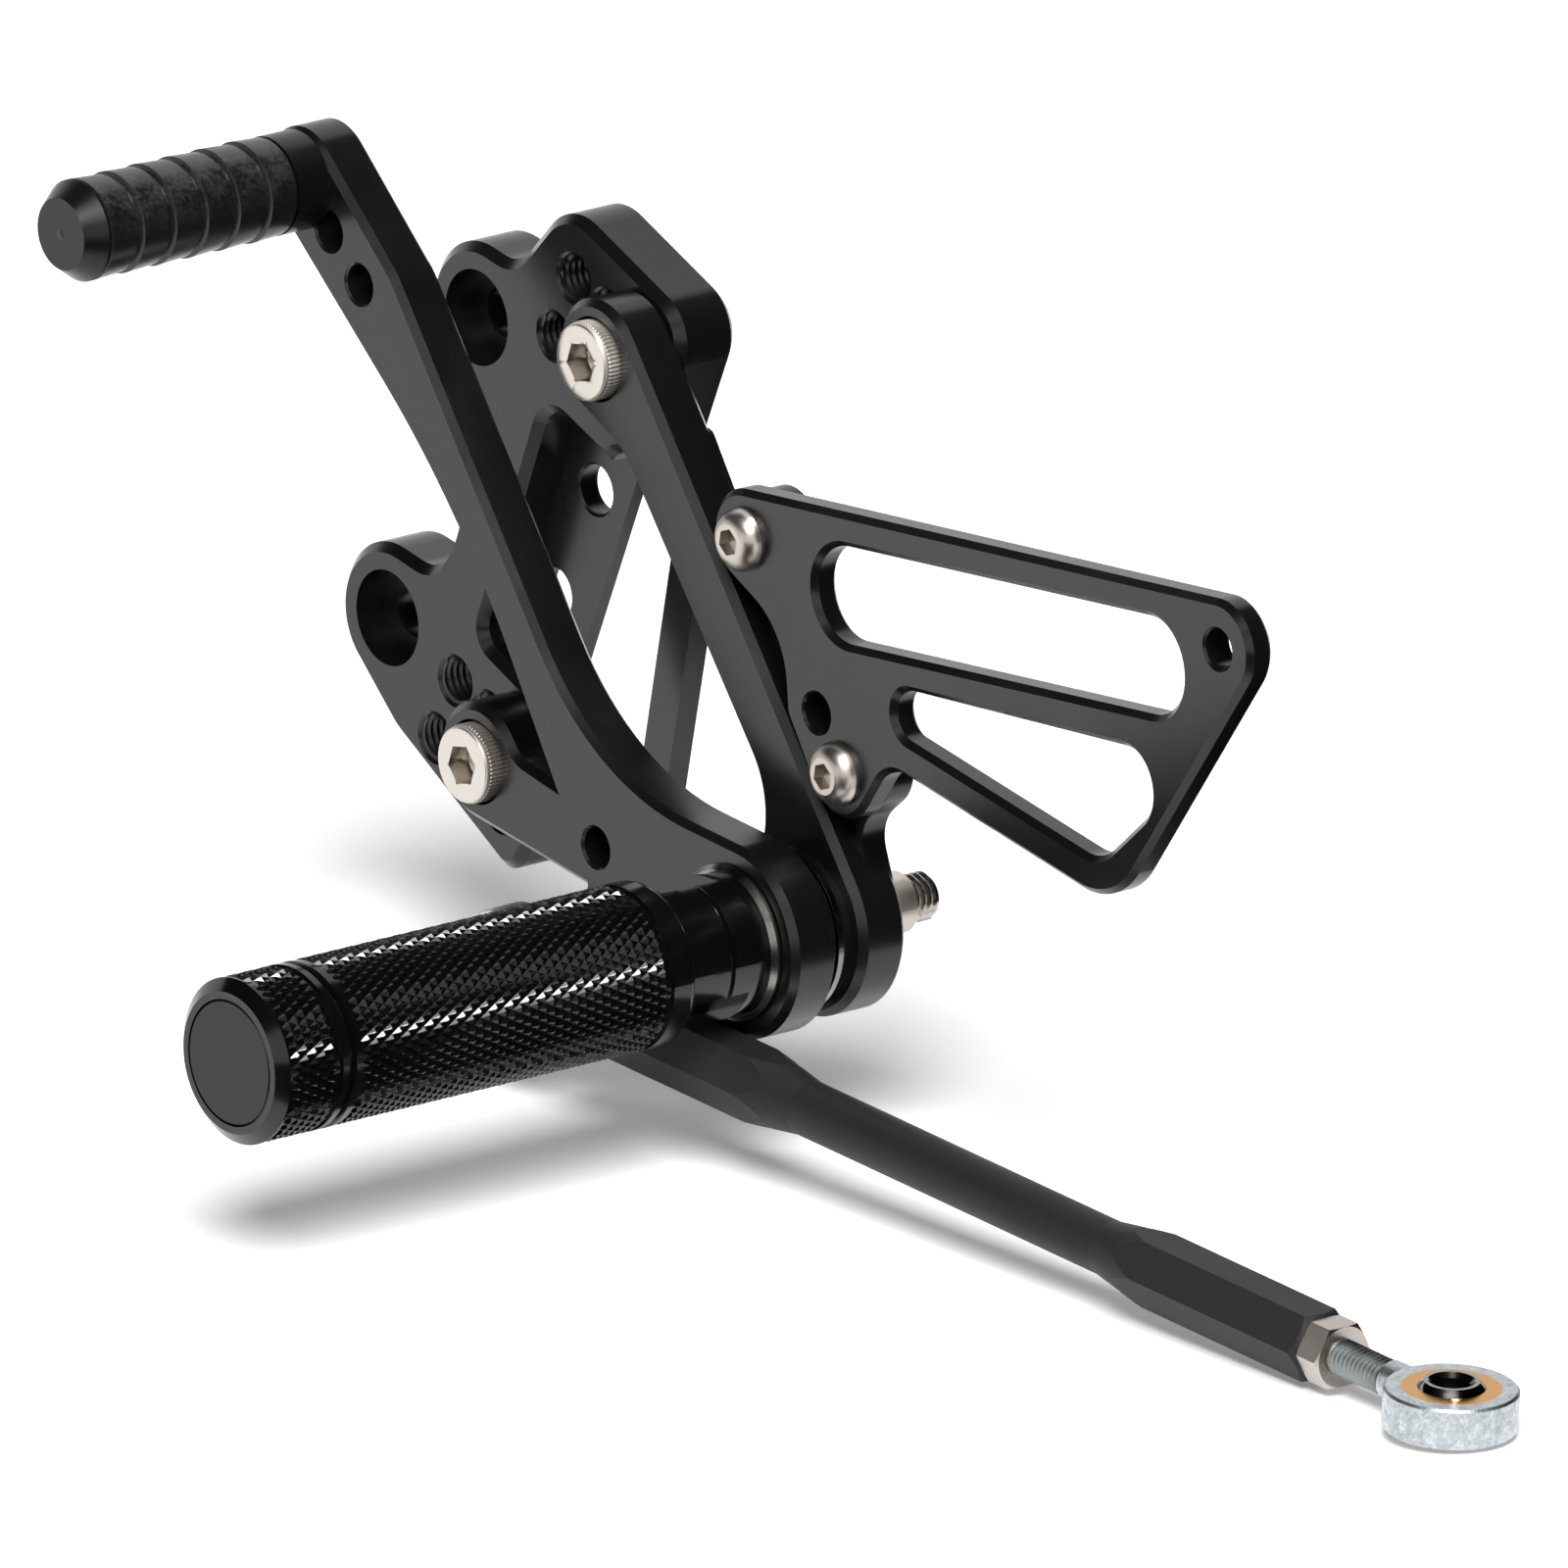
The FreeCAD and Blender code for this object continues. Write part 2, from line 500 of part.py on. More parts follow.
for number, turn in enumerate([-62.0, 118.0], start=1):
    c = math.cos(math.radians(turn))
    s = math.sin(math.radians(turn))
    corners = [(flat, -14), (flat + 9, -14), (flat + 9, 14), (flat, 14)]
    outside = polygon([(a * c - b * s, a * s + b * c) for a, b in corners])
    pocket(peg, front(peg, "flat_outline_%d" % number, outside, -size("peg_flats_at")),
           "wrench_flat_%d" % number, "Sizes.peg_flats_long")
footpeg_end_cap = tube("footpeg_end_cap", tip_y, size("peg_cap_thick"), cap_radius - 0.05,
                       0.0, 0.4)
footpeg_bolt = cap_screw("footpeg_bolt", seat_y - size("cap_head_high"), (0.0, 0.0),
                         size("bolt_end") - seat_y, size("bolt_bare"))

# Toe peg: aluminium spindle with collar and nose, a ribbed rubber sleeve stretched over it and
# a screw from behind the lever.
core = new_body("toe_peg_core", LEVER_Y, TOE_PEG)
collar_y = -size("toe_collar_long")
nose_y = collar_y - 6 * size("toe_rib")
nose_tip = nose_y - size("toe_nose_long")
turned(core, "core_turning", polygon([
    (0, nose_tip - 0.15), (0.9, nose_tip), (size("toe_tip"), nose_tip), (size("toe_rubber"), nose_y),
    (size("toe_stem"), nose_y), (size("toe_stem"), collar_y), (size("toe_collar"), collar_y),
    (size("toe_collar"), 0), (size("button_shank"), 0), (size("button_shank"), -20),
    (0, -21.5)]))
rubber = new_body("toe_peg_rubber", LEVER_Y, TOE_PEG)
ribs = [(size("toe_stem"), collar_y)]
for k in range(6):
    rib_y = collar_y - k * size("toe_rib")
    ribs += [(7.5, rib_y), (8.0, rib_y - 0.5), (size("toe_rubber"), rib_y - size("toe_rib") + 0.8),
             (7.5, rib_y - size("toe_rib") + 0.4)]
ribs += [(size("toe_stem"), nose_y + 0.4)]
turned(rubber, "rubber_moulding", polygon(ribs))
toe_screw_crown = LEVER_Y + size("lever_thick") + size("button_head_high")
toe_peg_screw = button_screw("toe_peg_screw", toe_screw_crown, TOE_PEG, size("toe_screw_length"),
                             inward=False)

# Link rod, turned from hexagon bar: hexagon left at both ends, round in the middle.
link_frame = FreeCAD.Rotation(Y_AXIS, LINK_DROP)
link_dir = link_frame.multVec(X_AXIS)


def link_point(along):
    return (LINK_NEAR[0] + link_dir.x * along, LINK_NEAR[1] + link_dir.z * along)


rod_long = LINK_RUN - size("link_start") - size("link_far_gap")
rod = new_body("link_rod", LINK_Y, link_point(size("link_start")), link_frame)
bar = pad(rod, sketch_on(rod, "YZ_Plane", "rod_hexagon", hexagon(size("link_hex"))), "rod_bar",
          "%.4f * 1 mm" % rod_long, inward=False)
corner = size("link_hex") / math.sqrt(3)
half = size("link_hex") / 2
hexed = size("link_hex_long")
tapered = hexed + size("link_taper")
turned(rod, "rod_waist", polygon([
    (hexed, corner + 1), (hexed, corner), (tapered, size("link_round")),
    (rod_long - tapered, size("link_round")), (rod_long - hexed, corner),
    (rod_long - hexed, corner + 1)]), "X_Axis", cut=True)
turned(rod, "rod_ends", polygon([
    (-1, half - 0.5), (0, half - 0.5), (1.4, corner + 0.2), (rod_long - 1.4, corner + 0.2),
    (rod_long, half - 0.5), (rod_long + 1, half - 0.5), (rod_long + 1, corner + 2),
    (-1, corner + 2)]), "X_Axis", cut=True)
thread = size("rod_thread")
turned(rod, "rod_near_thread", polygon([(-1, 0), (-1, thread), (18, thread), (19.5, 0)]),
       "X_Axis", cut=True)
turned(rod, "rod_far_thread", polygon([
    (rod_long + 1, 0), (rod_long + 1, thread), (rod_long - 18, thread), (rod_long - 19.5, 0)]),
       "X_Axis", cut=True)


def rod_end(side, centre, rotation, reach):
    """Spherical rod end: forged eye with threaded shank along X, race and ball around Z. The
    shank is bare at the root of its thread from the eye to the jam nut."""
    housing = new_body(side + "_rod_end", LINK_Y, centre, rotation)
    ring = Part.Circle(V(0, 0, 0), Z_AXIS, size("eye"))
    sketch = sketch_on(housing, "XY_Plane", side + "_eye_outline", [ring], -size("eye_thick") / 2)
    eye = pad(housing, sketch, side + "_eye", "Sizes.eye_thick", inward=False)
    rims = [i for i, e in enumerate(eye.Shape.Edges, start=1) if e.BoundBox.ZLength < 1e-4]
    chamfer(housing, eye, side + "_eye_bevel", "hole_chamfer", ["Edge%d" % i for i in rims])
    root = size("rod_root")
    neck = size("eye_thick") / 2 - 0.1
    locked = reach - size("thread_reach") - size("jam_thick") - 0.3
    turned(housing, side + "_shank", polygon([
        (8.6, 0), (8.6, neck), (14.5, neck - 0.1), (14.9, root), (locked, root),
        (locked, thread), (reach - 0.6, thread), (reach, thread - 0.6), (reach, 0)]), "X_Axis")
    bore = Part.Circle(V(0, 0, 0), Z_AXIS, size("race"))
    through = housing.newObject("PartDesign::Pocket", side + "_eye_bore")
    through.Profile = sketch_on(housing, "XY_Plane", side + "_eye_bore_outline", [bore])
    through.Midplane = True
    through.Type = "ThroughAll"
    doc.recompute()
    race = new_body(side + "_race", LINK_Y, centre, rotation)
    half_race = size("eye_thick") / 2
    groove = size("ball") + size("ball_fit")
    lip = math.sqrt(groove ** 2 - half_race ** 2)
    a, b, c, d = V(lip, -half_race, 0), V(size("race"), -half_race, 0), \
        V(size("race"), half_race, 0), V(lip, half_race, 0)
    profile = [Part.LineSegment(a, b), Part.LineSegment(b, c), Part.LineSegment(c, d),
               Part.Arc(d, V(groove, 0, 0), a)]
    revolve_upright(race, side + "_race_turning", profile)
    ball = new_body(side + "_ball", LINK_Y, centre, rotation)
    half_ball = size("ball_width") / 2
    radius = size("ball")
    mouth = math.sqrt(radius ** 2 - half_ball ** 2)
    hole = size("ball_bore")
    break_out = size("ball_chamfer")
    a, b, c, d = V(hole + break_out, -half_ball, 0), V(mouth, -half_ball, 0), \
        V(mouth, half_ball, 0), V(hole + break_out, half_ball, 0)
    e, f = V(hole, half_ball - break_out, 0), V(hole, break_out - half_ball, 0)
    profile = [Part.LineSegment(a, b), Part.Arc(b, V(radius, 0, 0), c), Part.LineSegment(c, d),
               Part.LineSegment(d, e), Part.LineSegment(e, f), Part.LineSegment(f, a)]
    revolve_upright(ball, side + "_ball_turning", profile)
    return [housing, race, ball]


def revolve_upright(body, name, profile):
    """Turn a profile of (radius, height) around the body's Z."""
    sketch = sketch_on(body, "XZ_Plane", name + "_profile", profile)
    feature = body.newObject("PartDesign::Revolution", name)
    feature.Profile = sketch
    feature.ReferenceAxis = (origin_part(body, "Z_Axis"), [""])
    feature.Angle = 360
    doc.recompute()


# Rod ends: the near eye stands on the lever's tail, the far one lies flat for the gear shaft.
reach = size("thread_reach")
near_turn = link_frame.multiply(FreeCAD.Rotation(X_AXIS, -90))
far_turn = link_frame.multiply(FreeCAD.Rotation(Z_AXIS, 180))
near_parts = rod_end("near", LINK_NEAR, near_turn, size("link_start") + reach)
far_parts = rod_end("far", LINK_FAR, far_turn, size("link_far_gap") + reach)
near_nut_x = size("link_start") - size("jam_thick")
near_jam_nut = hex_nut("near_jam_nut", "jam_hex", "jam_thick", thread, LINK_Y,
                       link_point(near_nut_x), link_frame, 30.0)
far_nut_x = LINK_RUN - size("link_far_gap")
far_jam_nut = hex_nut("far_jam_nut", "jam_hex", "jam_thick", thread, LINK_Y,
                      link_point(far_nut_x), link_frame)

# Screw and nut that clamp the near ball to the lever's tail.
link_screw_crown = LINK_Y - size("ball_width") / 2 - size("button_head_high")
link_bolt_long = LEVER_Y + size("lever_thick") + size("link_nut_thick") + 0.8 \
    - (LINK_Y - size("ball_width") / 2)
link_bolt = button_screw("link_bolt", link_screw_crown, LINK_NEAR, link_bolt_long)
link_nut = hex_nut("link_nut", "jam_hex", "link_nut_thick", size("button_shank"),
                   LEVER_Y + size("lever_thick"), LINK_NEAR, FreeCAD.Rotation(Z_AXIS, 90))

doc.recompute()
NODES = [plate, bracket, bracket_screws, guard, heel_guard_screws, lever, lever_bush,
         outer_washer, inner_washer, pivot_spacer, pivot_sleeve, peg, footpeg_end_cap,
         footpeg_bolt, core, rubber, toe_peg_screw, rod, near_jam_nut, far_jam_nut, link_bolt,
         link_nut] + near_parts + far_parts
for item in doc.Objects:
    if "Invalid" in item.State or "Error" in item.State:
        raise RuntimeError(item.Name + " is in the state " + str(item.State))
os.makedirs("parts", exist_ok=True)
for node in NODES:
    if node.Shape.isNull() or not node.Shape.isValid() or not node.Shape.Solids:
        raise RuntimeError(node.Label + " has no valid shape")
    node.Shape.exportStep("parts/" + node.Label + ".step")
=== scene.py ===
import math

import bmesh
import bpy
from mathutils import Matrix, Vector


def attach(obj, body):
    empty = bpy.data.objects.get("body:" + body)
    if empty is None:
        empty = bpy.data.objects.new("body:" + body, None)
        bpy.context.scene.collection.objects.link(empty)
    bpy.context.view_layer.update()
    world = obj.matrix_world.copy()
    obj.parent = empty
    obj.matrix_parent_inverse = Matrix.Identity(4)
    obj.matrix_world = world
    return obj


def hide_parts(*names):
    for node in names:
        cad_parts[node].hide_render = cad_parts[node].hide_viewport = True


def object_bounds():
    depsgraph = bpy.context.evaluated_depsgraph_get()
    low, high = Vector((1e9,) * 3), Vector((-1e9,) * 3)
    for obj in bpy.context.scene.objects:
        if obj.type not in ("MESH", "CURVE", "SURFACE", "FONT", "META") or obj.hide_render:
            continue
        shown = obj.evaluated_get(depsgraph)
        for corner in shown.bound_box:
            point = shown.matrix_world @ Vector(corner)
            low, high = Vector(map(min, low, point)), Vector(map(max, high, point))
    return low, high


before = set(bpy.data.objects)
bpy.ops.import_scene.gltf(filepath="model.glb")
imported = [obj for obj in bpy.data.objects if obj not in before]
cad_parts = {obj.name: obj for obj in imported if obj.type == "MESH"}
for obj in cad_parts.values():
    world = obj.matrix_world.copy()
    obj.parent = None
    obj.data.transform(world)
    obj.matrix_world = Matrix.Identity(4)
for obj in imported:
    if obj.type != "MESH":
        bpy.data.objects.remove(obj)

cad_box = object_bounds()


# Camera.
# A long lens looks down on the outer side of the rear set from behind the rider's heel,
# 51 degrees round and 17 degrees above the floor, as in the photograph.
look_round = math.radians(50.66)
look_down = math.radians(17.02)
look_at = Vector((0.11184, -0.0311, -0.02254))
camera_distance = 11.0
towards_camera = Vector((math.sin(look_round) * math.cos(look_down),
                         -math.cos(look_round) * math.cos(look_down), math.sin(look_down)))
lens = bpy.data.cameras.new("product_lens")
lens.sensor_width = 36.0
lens.lens = 1596.4
lens.clip_end = 40.0
camera = bpy.data.objects.new("product_camera", lens)
bpy.context.collection.objects.link(camera)
camera.location = look_at + towards_camera * camera_distance
camera.rotation_mode = "QUATERNION"
camera.rotation_quaternion = (-towards_camera).to_track_quat("-Z", "Y")
bpy.context.scene.camera = camera
bpy.context.scene.view_settings.view_transform = "Standard"


# Studio floor and room.
# White painted board under the part, lit evenly enough to burn out to white. The room is
# white to the lens and to anything shiny, and dimmer as a light, so shadows stay on the floor.
floor_z = cad_box[0].z
floor_half = 6.0
floor_lift = 0.2
room_as_light = 0.2


def linear(hex_colour):
    """Linear colour of an sRGB hex value."""
    channels = [int(hex_colour[i:i + 2], 16) / 255 for i in (1, 3, 5)]
    return [c / 12.92 if c <= 0.04045 else ((c + 0.055) / 1.055) ** 2.4 for c in channels] + [1.0]


def add(tree, kind, settings=None, **inputs):
    """One node with its settings; each input, by name or number, is a value or an output."""
    node = tree.nodes.new(kind)
    for key, value in (settings or {}).items():
        setattr(node, key, value)
    for key, value in inputs.items():
        socket = node.inputs[int(key[1:]) if key[1:].isdigit() else key.replace("_", " ")]
        if isinstance(value, bpy.types.NodeSocket):
            tree.links.new(value, socket)
        else:
            socket.default_value = value
    return node


def new_finish(name):
    """Empty material with its node tree."""
    material = bpy.data.materials.new(name)
    material.use_nodes = True
    material.node_tree.nodes.clear()
    return material, material.node_tree


def new_object(name, mesh, material):
    """Object in the scene, of one mesh in one finish."""
    mesh.materials.append(material)
    made = bpy.data.objects.new(name, mesh)
    bpy.context.collection.objects.link(made)
    return made


def studio_board(name, corners, faces, material):
    """Studio board that is no part of the object."""
    mesh = bpy.data.meshes.new(name)
    mesh.from_pydata(corners, [], faces)
    board = new_object(name, mesh, material)
    return board


def seen_by_lens_and_shine(tree):
    """1 for rays from the lens and off shiny or clear surfaces, 0 for those that carry light."""
    ray = add(tree, "ShaderNodeLightPath")
    seen = add(tree, "ShaderNodeMath", {"operation": "MAXIMUM"}, _0=ray.outputs["Is Camera Ray"],
               _1=ray.outputs["Is Glossy Ray"])
    seen = add(tree, "ShaderNodeMath", {"operation": "MAXIMUM"}, _0=seen.outputs[0],
               _1=ray.outputs["Is Transmission Ray"])
    return seen.outputs[0]


# White painted board: matt and evenly white, without a grain that shows.
white_paint, tree = new_finish("white_painted_board")
paint = add(tree, "ShaderNodeBsdfDiffuse", Color=linear("#fcfcfd"), Roughness=0.0)
lift = add(tree, "ShaderNodeMapRange", Value=seen_by_lens_and_shine(tree), To_Min=0.0, To_Max=floor_lift)
glow = add(tree, "ShaderNodeEmission", Color=linear("#ffffff"), Strength=lift.outputs[0])
both = add(tree, "ShaderNodeAddShader", _0=paint.outputs[0], _1=glow.outputs[0])
add(tree, "ShaderNodeOutputMaterial", Surface=both.outputs[0])
floor_corners = [(x * floor_half, y * floor_half, floor_z) for x, y in [(-1, -1), (1, -1), (1, 1), (-1, 1)]]
studio_board("studio_floor", floor_corners, [(0, 1, 2, 3)], white_paint)

room = bpy.data.worlds.new("white_studio")
bpy.context.scene.world = room
room.use_nodes = True
tree = room.node_tree
tree.nodes.clear()
level = add(tree, "ShaderNodeMapRange", Value=seen_by_lens_and_shine(tree), To_Min=room_as_light,
            To_Max=1.0)
glow = add(tree, "ShaderNodeBackground", Color=linear("#ffffff"), Strength=level.outputs[0])
add(tree, "ShaderNodeOutputWorld", Surface=glow.outputs[0])


# Black velvet cards.
# They stand round the back right of the part, lie before it on the floor and hang over its
# front. Only shiny surfaces see them, so bevels and walls that face the back stay near black.
card_reach = 1.6
card_centre = Vector((0.1, -0.03, floor_z + 0.0005))
# Black velvet: so deep that it gives no light back, wherever it is seen from.
black_velvet, tree = new_finish("black_velvet")
cloth = add(tree, "ShaderNodeEmission", Color=linear("#060606"), Strength=1.0)
add(tree, "ShaderNodeOutputMaterial", Surface=cloth.outputs[0])


def card(name, azimuths, rows):
    """Card bent round the part: azimuths in degrees from +X, each row a (reach, height) in metres."""
    corners = []
    for reach, height in rows:
        for azimuth in azimuths:
            turn = math.radians(azimuth)
            out = Vector((math.cos(turn), math.sin(turn), 0)) * reach
            corners.append(card_centre + out + Vector((0, 0, height)))
    across = len(azimuths)
    faces = []
    for row in range(len(rows) - 1):
        for column in range(across - 1):
            low = row * across + column
            faces.append((low, low + 1, low + across + 1, low + across))
    board = studio_board(name, corners, faces, black_velvet)
    board.visible_camera = False
    board.visible_diffuse = False
    board.visible_shadow = False
    board.visible_transmission = False


def dome_rows(elevations):
    """Rows of a card that stands up as part of a dome, at angles above the floor."""
    angles = [math.radians(elevation) for elevation in elevations]
    return [(card_reach * math.cos(angle), card_reach * math.sin(angle)) for angle in angles]


card("black_velvet_wall", range(-12, 105, 4), dome_rows(range(0, 86, 5)))
card("black_velvet_floor", range(14, 113, 3), [(0.1, 0), (card_reach, 0)])
card("black_velvet_front", range(-176, -11, 4), dome_rows([*range(24, 85, 3), 85]))
card("black_velvet_front_floor", range(-78, -23, 3), [(0.07, 0), (card_reach, 0)])


# Studio lamps.
# A broad soft lamp above the lens makes the soft shadows under the pegs, and a small softbox
# overhead lights the points of the knurling and the edges of the turned parts.
def hang_lamp(light, place, target):
    """Hangs a light at a place, turned towards its target."""
    lamp = bpy.data.objects.new(light.name, light)
    bpy.context.collection.objects.link(lamp)
    lamp.location = place
    lamp.rotation_mode = "QUATERNION"
    lamp.rotation_quaternion = (Vector(target) - Vector(place)).to_track_quat("-Z", "Y")
    return lamp


broad_light = bpy.data.lights.new("overhead_softbox", "SUN")
broad_light.energy = 4.4
broad_light.angle = math.radians(32.0)
hang_lamp(broad_light, (1.09, -0.9, 1.6), (0, 0, 0))
sparkle_light = bpy.data.lights.new("small_softbox", "AREA")
sparkle_light.shape = "RECTANGLE"
sparkle_light.size = 0.2
sparkle_light.size_y = 0.16
sparkle_light.energy = 7.0
sparkle_lamp = hang_lamp(sparkle_light, (0.462, 0.074, 1.081), (0.105, -0.09, -0.05))
sparkle_lamp.visible_diffuse = False


# Mounting plate.
# Milled from 12 mm aluminium plate, with broken edges, two counterbored lugs, two grids of
# M8 tapped holes and a recessed web, then blasted lightly and anodised black.
lever_pivot = Vector((104.55, -31.1, -49.45))
plate_face = 19.1
bracket_screws = [(-52.2, 81.4), (-82.2, 7.5)]
column_step = Vector((0.905, -0.425)) * 9.15
row_step = Vector((-0.425, -0.905)) * 11.8
spare_holes = [(-2, 0), (-1, 0), (-2, 1), (-1, 1), (0, 1)]
m8_pitch = 1.25
tap_wall = 3.97
tap_crest = 3.4
thread_edge = 20
# A pattern's scale is its number of waves in a millimetre times this.
per_mm = 1000.0


def patchy_roughness(tree, place, waves, detail, low, high):
    """Roughness that drifts between two values in patches, as handled metal does."""
    cloud = add(tree, "ShaderNodeTexNoise", Vector=place, Scale=waves * per_mm, Detail=detail)
    return add(tree, "ShaderNodeMapRange", Value=cloud.outputs["Fac"], From_Min=0.3, From_Max=0.7,
               To_Min=low, To_Max=high).outputs[0]


def anodised_finish(name, colour, roughness, cutter_mm, grain=0.05, ior=1.5):
    """Dyed oxide skin over cutter marks, each 12 times as long as wide, and a blasted grain."""
    material, tree = new_finish(name)
    place = add(tree, "ShaderNodeTexCoord").outputs["Object"]
    # Cutter marks and grit are about 0.1 mm across, too fine to show, so they are drawn coarser.
    stretch = add(tree, "ShaderNodeMapping", Vector=place,
                  Scale=(per_mm / cutter_mm, 0.06 * per_mm, per_mm / (cutter_mm * 12)))
    marks = add(tree, "ShaderNodeTexNoise", Vector=stretch.outputs[0], Scale=1.0, Detail=2.0)
    blast = add(tree, "ShaderNodeTexNoise", Vector=place, Scale=3.3 * per_mm, Detail=1.0)
    lay = add(tree, "ShaderNodeBump", Strength=0.02, Distance=0.00002, Height=marks.outputs["Fac"])
    relief = add(tree, "ShaderNodeBump", Strength=grain, Distance=0.00004, Height=blast.outputs["Fac"],
                 Normal=lay.outputs[0])
    rough = patchy_roughness(tree, place, 0.055, 3.0, roughness - 0.03, roughness + 0.04)
    skin = add(tree, "ShaderNodeBsdfPrincipled", Base_Color=linear(colour), Metallic=0.0, IOR=ior,
               Roughness=rough, Normal=relief.outputs[0])
    add(tree, "ShaderNodeOutputMaterial", Surface=skin.outputs[0])
    return material


def dress(node_name, material):
    """Gives every face of a CAD node one finish."""
    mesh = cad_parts[node_name].data
    mesh.materials.clear()
    mesh.materials.append(material)


def from_pivot(x, y, z):
    """Place in millimetres from the lever's pivot."""
    return Matrix.Translation((lever_pivot + Vector((x, y, z))) / 1000)


def round_own_axis(radius, depth, turn):
    """Point at a radius in millimetres and an angle round Y, in metres."""
    return Vector((radius * math.cos(turn), depth, radius * math.sin(turn))) / 1000


def swept(name, rings, steps, place, material, body, sharp=28):
    """Piece swept round its own Y. Each ring is a (radius, depth), or gives one at an angle."""
    bm = bmesh.new()
    rows = []
    for ring in rings:
        row = []
        for step in range(steps + 1):
            turn = 2 * math.pi * step / steps
            radius, depth = ring(turn) if callable(ring) else ring
            row.append(bm.verts.new(round_own_axis(radius, depth, turn)))
        rows.append(row)
    for a, b in zip(rows, rows[1:]):
        for s in range(steps):
            bm.faces.new((a[s], b[s], b[s + 1], a[s + 1]))
    bmesh.ops.remove_doubles(bm, verts=bm.verts, dist=2e-7)
    for edge in bm.edges:
        edge.smooth = edge.calc_face_angle(0.0) < math.radians(sharp)
    for face in bm.faces:
        face.smooth = True
    mesh = bpy.data.meshes.new(name)
    bm.to_mesh(mesh)
    bm.free()
    piece = new_object(name, mesh, material)
    piece.matrix_world = place
    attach(piece, body)
    return piece


def thread_rings(start, end, root, crest, pitch):
    """Rings that wind along a screw thread, two at its root and two at its crest in each turn."""
    profile = [(0.0, root), (0.12, root), (0.5, crest), (0.62, crest)]
    rings = []
    for lap in range(-1, math.ceil((end - start) / pitch) + 1):
        for share, radius in profile:

            def ring(turn, share=lap + share, radius=radius):
                depth = start + (share + turn / (2 * math.pi)) * pitch
                if depth <= start:
                    return root, start
                if depth >= end:
                    return root, end
                return radius, depth
            rings.append(ring)
    return rings


# Black anodised aluminium, milled and blasted: a dyed oxide skin, dark, with a soft sheen, a
# fine grain and the faint direction of the cutter.
black_anodised = anodised_finish("black_anodised_aluminium_milled", "#0b0b0c", 0.25, 0.4)
dress("mounting_plate", black_anodised)
for number, centre in enumerate(bracket_screws):
    for column, row in spare_holes:
        x, z = Vector(centre) + column_step * column + row_step * row
        swept("tapped_hole_%d%d%d" % (number, column + 2, row),
              thread_rings(0.5, 11.9, tap_wall, tap_crest, m8_pitch)[::-1], 28,
              from_pivot(x, plate_face, z), black_anodised, "frame_side", thread_edge)


# Peg bracket.
# Milled from 9 mm plate as a V with a thin strut, bolted to the mounting plate, with the same
# blasted and anodised skin.
dress("peg_bracket", black_anodised)


# Bracket screws.
# Two M8 socket head screws in stainless steel, cold headed: turned face, broken edge, straight
# knurl round the head and a broached hexagon socket.
head_front = 6.85
head_radius = 6.5
head_teeth = 60
tooth_depth = 0.32
socket_across = 6.0
socket_turn = math.radians(-11)


def metal_finish(name, colour, roughness, spread=0.05, rim=None):
    """Bare metal with a fine grain. A rim is a (start, end, roughness) at millimetres from the axis."""
    material, tree = new_finish(name)
    place = add(tree, "ShaderNodeTexCoord").outputs["Object"]
    if rim:
        start, end, rim_roughness = rim
        flat = add(tree, "ShaderNodeVectorMath", {"operation": "MULTIPLY"}, _0=place, _1=(1.0, 0.0, 1.0))
        away = add(tree, "ShaderNodeVectorMath", {"operation": "LENGTH"}, _0=flat.outputs[0])
        rough = add(tree, "ShaderNodeMapRange", Value=away.outputs["Value"], From_Min=start / 1000,
                    From_Max=end / 1000, To_Min=roughness, To_Max=rim_roughness).outputs[0]
    else:
        rough = patchy_roughness(tree, place, 0.26, 4.0, roughness - spread, roughness + spread)
    # The real grain is finer than a pixel and is drawn 0.35 mm across.
    grain = add(tree, "ShaderNodeTexNoise", Vector=place, Scale=per_mm / 0.35, Detail=3.0)
    bump = add(tree, "ShaderNodeBump", Strength=0.05, Distance=0.0001, Height=grain.outputs["Fac"])
    skin = add(tree, "ShaderNodeBsdfPrincipled", Base_Color=linear(colour), Metallic=1.0,
               Roughness=rough, Normal=bump.outputs[0])
    add(tree, "ShaderNodeOutputMaterial", Surface=skin.outputs[0])
    return material


def socket_ring(depth):
    """Ring of the hexagon socket, with a corner at angle 0."""
    return lambda turn: (socket_across / 2 / math.cos((turn % (math.pi / 3)) - math.pi / 6), depth)


def knurled_ring(depth):
    """Ring of the straight knurl round the head."""
    return lambda turn: (head_radius - tooth_depth * (0.5 - 0.5 * math.cos(head_teeth * turn)), depth)


# Stainless steel with a rolled knurl: bright on the turned face, duller round the head.
rolled_steel = metal_finish("stainless_steel_rolled_knurl", "#c9c3bb", 0.2, rim=(5.9, 6.2, 0.55))
socket = [(0, 5.2), (2.8, 4.1), socket_ring(4.0), socket_ring(0.12), (3.56, 0.0)]
head = [(5.45, 0.0), (5.95, 0.12), (6.22, 0.4), (6.3, 0.75), (6.3, 0.95), knurled_ring(1.1),
        knurled_ring(7.5), (6.2, 7.8), (6.2, 8.0)]
shank = [(3.95, 8.0), (3.95, 23.2), (3.3, 23.9), (0, 23.9)]
for number, (x, z) in enumerate(bracket_screws):
    screw = swept("cap_screw_%d" % number, socket + head + shank, 240,
                  from_pivot(x, head_front, z) @ Matrix.Rotation(socket_turn, 4, "Y"), rolled_steel,
                  "frame_side")
    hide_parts("bracket_screws")


# Heel guard.
# Cut from 5 mm plate, anodised as the rest, and held by two M6 button head screws in stainless
# steel on the bracket's ears.
dress("heel_guard", black_anodised)
# Stainless steel, cold headed: satin domes, duller than the turned faces.
button_steel = metal_finish("stainless_steel_cold_headed", "#bdb6ad", 0.3, 0.04)
dress("heel_guard_screws", button_steel)


